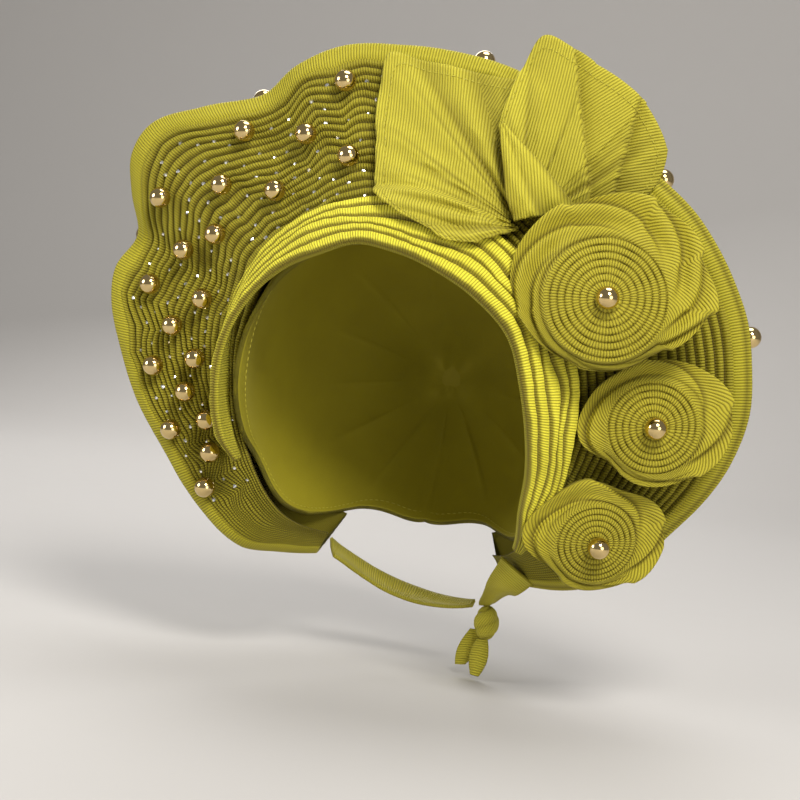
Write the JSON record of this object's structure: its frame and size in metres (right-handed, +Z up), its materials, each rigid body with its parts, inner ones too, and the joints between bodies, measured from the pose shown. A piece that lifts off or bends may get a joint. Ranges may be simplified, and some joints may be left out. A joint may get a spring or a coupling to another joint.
{
  "type": "tied gele head tie",
  "caption": "Ready-tied cloth head wrap: a cap with folded brow cloth, a tall pleated halo, a fanned bow, rolled ribbon rosettes, round beads and nape ties.",
  "frame": {"origin": "the crown of the head that wears it, inside the top of the cap", "axes": "+Z up along the head, the face looks towards -Y, +X towards the wearer's left"},
  "size_m": [0.3092, 0.1814, 0.3086],
  "materials": {
    "gele_cloth": "woven, finely ribbed, with a slight sheen",
    "gold_bead": "gold-plated mirror gloss"
  },
  "bodies": {
    "root": {"crown_cap": "gele_cloth", "brow_wrap": "gele_cloth", "pleated_halo": "gele_cloth", "bow_flap_left": "gele_cloth", "bow_flap_right": "gele_cloth", "bow_tongue": "gele_cloth", "rosette_top": "gele_cloth", "rosette_middle": "gele_cloth", "rosette_bottom": "gele_cloth", "tie_left": "gele_cloth", "tie_right": "gele_cloth", "nape_knot": "gele_cloth", "tie_tail_front": "gele_cloth", "tie_tail_back": "gele_cloth", "halo_bead_01": "gold_bead", "halo_bead_02": "gold_bead", "halo_bead_03": "gold_bead", "halo_bead_04": "gold_bead", "halo_bead_05": "gold_bead", "halo_bead_06": "gold_bead", "halo_bead_07": "gold_bead", "halo_bead_08": "gold_bead", "halo_bead_09": "gold_bead", "halo_bead_10": "gold_bead", "halo_bead_11": "gold_bead", "halo_bead_12": "gold_bead", "halo_bead_13": "gold_bead", "halo_bead_14": "gold_bead", "halo_bead_15": "gold_bead", "halo_bead_16": "gold_bead", "halo_bead_17": "gold_bead", "halo_bead_18": "gold_bead", "halo_bead_19": "gold_bead", "rim_bead_01": "gold_bead", "rim_bead_02": "gold_bead", "rim_bead_03": "gold_bead", "rim_bead_04": "gold_bead", "rim_bead_05": "gold_bead", "rosette_bead_top": "gold_bead", "rosette_bead_middle": "gold_bead", "rosette_bead_bottom": "gold_bead"}
  },
  "joints": []
}
